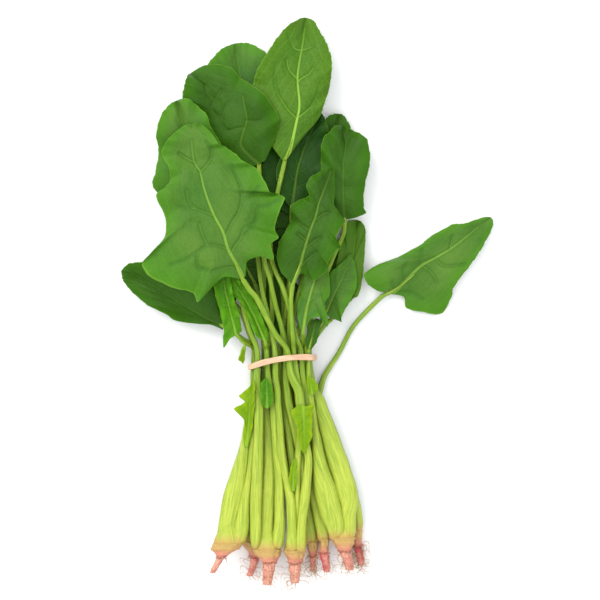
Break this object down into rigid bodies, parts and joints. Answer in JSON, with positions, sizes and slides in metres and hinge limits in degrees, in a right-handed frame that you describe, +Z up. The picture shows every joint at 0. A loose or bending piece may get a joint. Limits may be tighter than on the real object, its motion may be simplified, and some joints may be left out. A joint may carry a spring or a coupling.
{
  "type": "spinach bunch",
  "caption": "Bunch of fresh spinach plants lying flat, with lobed green leaves, pale stalks, pink roots and a rubber band round the stalks.",
  "frame": {"origin": "bottom centre of the whole bunch, on the surface it lies on", "axes": "+Z up, +Y from the roots to the leaf tips, +X to the outlying leaf"},
  "size_m": [0.2146, 0.3262, 0.0379],
  "materials": {
    "leaf_dark": "satin living leaf, deep green",
    "leaf_green": "satin living leaf, fresh green",
    "leaf_light": "satin living leaf, light underside green",
    "stalk": "smooth juicy stalk, yellow green",
    "root": "dull skin, pink to orange",
    "rubber_band": "matte natural rubber"
  },
  "bodies": {
    "root": {"leaf_under_middle": "leaf_dark", "leaf_under_left": "leaf_dark", "leaf_under_right": "leaf_dark", "leaf_right_back": "leaf_dark", "leaf_under_low_left": "leaf_dark", "leaf_under_high_right": "leaf_dark", "leaf_under_high_left": "leaf_dark", "leaf_under_top": "leaf_dark", "leaf_middle_dark": "leaf_dark", "leaf_right_high_back": "leaf_dark", "leaf_dark_behind": "leaf_dark", "leaf_top_left_back": "leaf_green", "leaf_right_low": "leaf_dark", "leaf_right": "leaf_green", "leaf_top_light": "leaf_light", "leaf_top_round": "leaf_green", "leaf_left": "leaf_green", "leaf_low_left": "leaf_light", "leaf_band_right": "leaf_dark", "leaf_right_toothed": "leaf_green", "leaf_right_front": "leaf_green", "leaf_crinkled": "leaf_light", "leaf_yellow": "leaf_light", "leaf_front_large": "leaf_green", "leaf_outlying": "leaf_light", "leaf_small_toothed": "leaf_dark", "leaf_small_hanging": "leaf_green", "leaf_small_between": "leaf_dark", "leaf_small_olive": "leaf_light", "leaf_small_narrow": "leaf_dark", "leaf_small_front": "leaf_green", "plant_1_stems": "stalk", "plant_1_root": "root", "plant_2_stems": "stalk", "plant_2_root": "root", "plant_3_stems": "stalk", "plant_3_root": "root", "plant_4_stems": "stalk", "plant_4_root": "root", "plant_5_stems": "stalk", "plant_5_root": "root", "plant_6_stems": "stalk", "plant_6_root": "root", "plant_7_stems": "stalk", "plant_7_root": "root", "plant_8_stems": "stalk", "plant_8_root": "root", "rubber_band": "rubber_band"}
  },
  "joints": []
}
